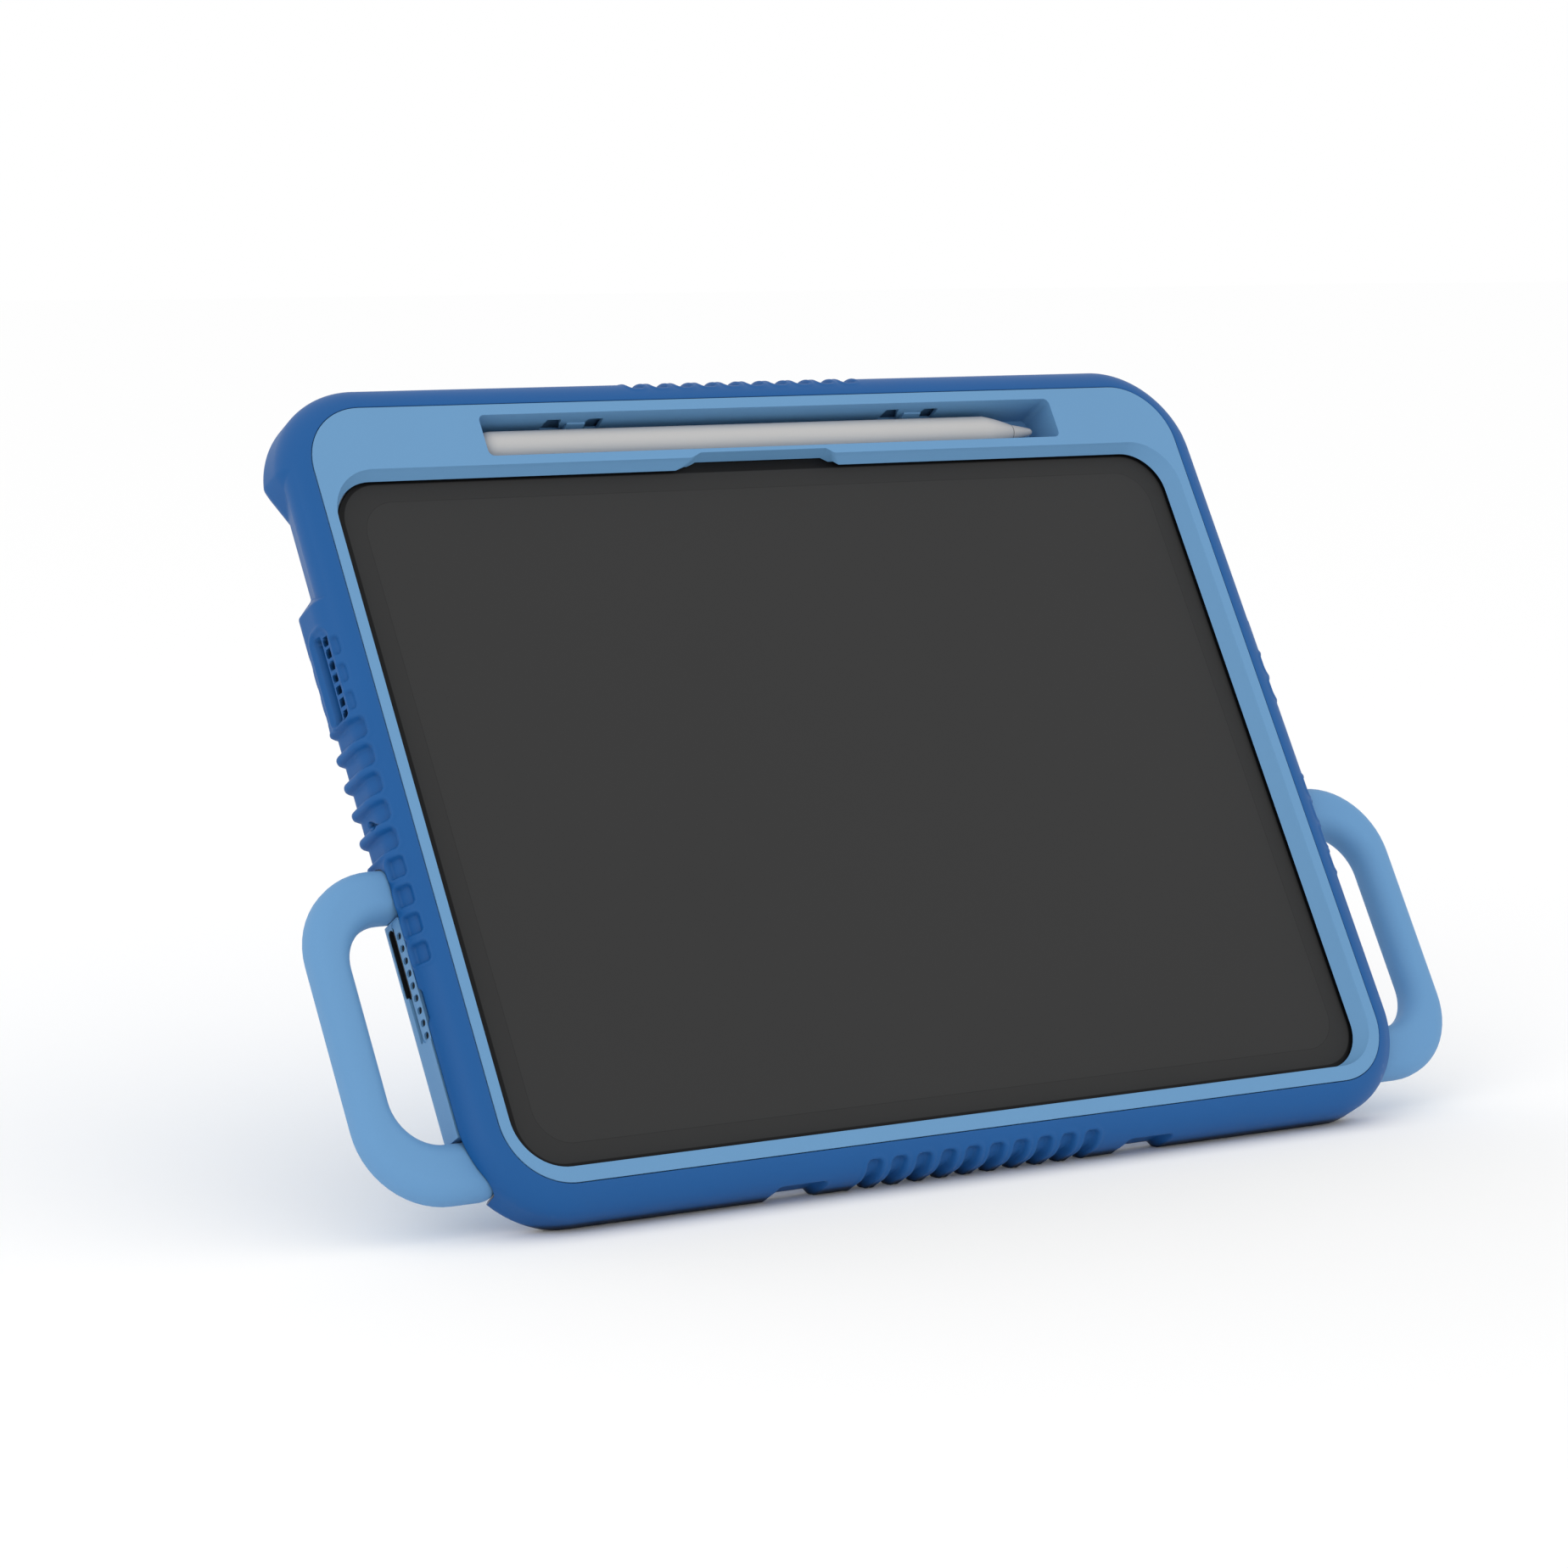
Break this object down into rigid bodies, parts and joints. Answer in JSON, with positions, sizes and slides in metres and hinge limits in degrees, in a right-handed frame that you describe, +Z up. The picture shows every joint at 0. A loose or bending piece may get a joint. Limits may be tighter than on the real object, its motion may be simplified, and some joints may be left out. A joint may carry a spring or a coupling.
{
  "type": "tablet in a rugged case",
  "caption": "Children's tablet computer in a two-tone blue rugged case with side grip handles, a stylus slot above the screen and a rear stand, standing in use.",
  "frame": {"origin": "on the table, under the middle of the whole part's box as it stands on its stand", "axes": "+X to the right along the screen, +Y away from the viewer behind the screen, +Z up"},
  "size_m": [0.314, 0.1166, 0.1842],
  "materials": {
    "bumper_rubber": "satin moulded, dark blue",
    "light_shell": "fine matte, light blue",
    "light_grip": "soft-touch, light blue",
    "dark_glass": "dark switched-off screen glass",
    "display": "unlit panel",
    "aluminium": "bead-blasted, anodised",
    "steel": "brushed",
    "stylus_white": "satin white",
    "pad_rubber": "matte",
    "cell_wrap": "foil pouch",
    "circuit_board": "solder mask",
    "flex_film": "polyimide film",
    "black_plastic": "moulded"
  },
  "bodies": {
    "case": {"bumper": "bumper_rubber", "front_frame": "light_shell", "rear_shell": "light_shell", "handle_pin_left": "steel", "handle_pin_right": "steel", "stand_pin": "steel", "tablet_housing": "aluminium", "cover_glass": "dark_glass", "display_panel": "display", "battery_left": "cell_wrap", "battery_right": "cell_wrap", "speaker_left_upper": "black_plastic", "speaker_left_lower": "black_plastic", "speaker_right_upper": "black_plastic", "speaker_right_lower": "black_plastic", "stylus_magnet_left": "steel", "stylus_magnet_right": "steel", "usb_port": "steel", "usb_flex": "flex_film", "key_flex": "flex_film", "main_board": "circuit_board", "board_shield": "steel", "processor": "black_plastic", "display_flex": "flex_film", "front_camera": "black_plastic", "rear_camera": "aluminium", "rear_lens": "dark_glass", "microphone": "black_plastic"},
    "handle_left": {"handle_left": "light_grip"},
    "handle_right": {"handle_right": "light_grip"},
    "stand": {"stand_plate": "light_shell", "stand_pad": "pad_rubber"},
    "stylus": {"stylus_barrel": "stylus_white", "stylus_tip": "stylus_white", "stylus_cell": "cell_wrap"},
    "power_button": {"power_key": "aluminium", "power_cover": "bumper_rubber"},
    "volume_up_button": {"volume_up_key": "aluminium", "volume_up_cover": "bumper_rubber"},
    "volume_down_button": {"volume_down_key": "aluminium", "volume_down_cover": "bumper_rubber"}
  },
  "joints": [
    {"name": "handle_left_swing", "type": "hinge", "parent": "case", "child": "handle_left", "pos_m": [-0.1305, -0.0264, 0.04339], "axis": [0, -0.5105, -0.8599], "range_deg": [0, 90]},
    {"name": "handle_right_swing", "type": "hinge", "parent": "case", "child": "handle_right", "pos_m": [0.1305, -0.0264, 0.04339], "axis": [0, 0.5105, 0.8599], "range_deg": [0, 90]},
    {"name": "stand_fold", "type": "hinge", "parent": "case", "child": "stand", "pos_m": [0, 0.02161, 0.11839], "axis": [1, 0, 0], "range_deg": [-44.67, 0]},
    {"name": "stylus_lift", "type": "slide", "parent": "case", "child": "stylus", "axis": [0, -0.8599, 0.5105], "range_m": [0, 0.04]},
    {"name": "power_press", "type": "slide", "parent": "case", "child": "power_button", "axis": [-1, 0, 0], "range_m": [0, 0.0005], "stiffness_N_per_m": 900},
    {"name": "volume_up_press", "type": "slide", "parent": "case", "child": "volume_up_button", "axis": [-1, 0, 0], "range_m": [0, 0.0005], "stiffness_N_per_m": 900},
    {"name": "volume_down_press", "type": "slide", "parent": "case", "child": "volume_down_button", "axis": [-1, 0, 0], "range_m": [0, 0.0005], "stiffness_N_per_m": 900}
  ]
}
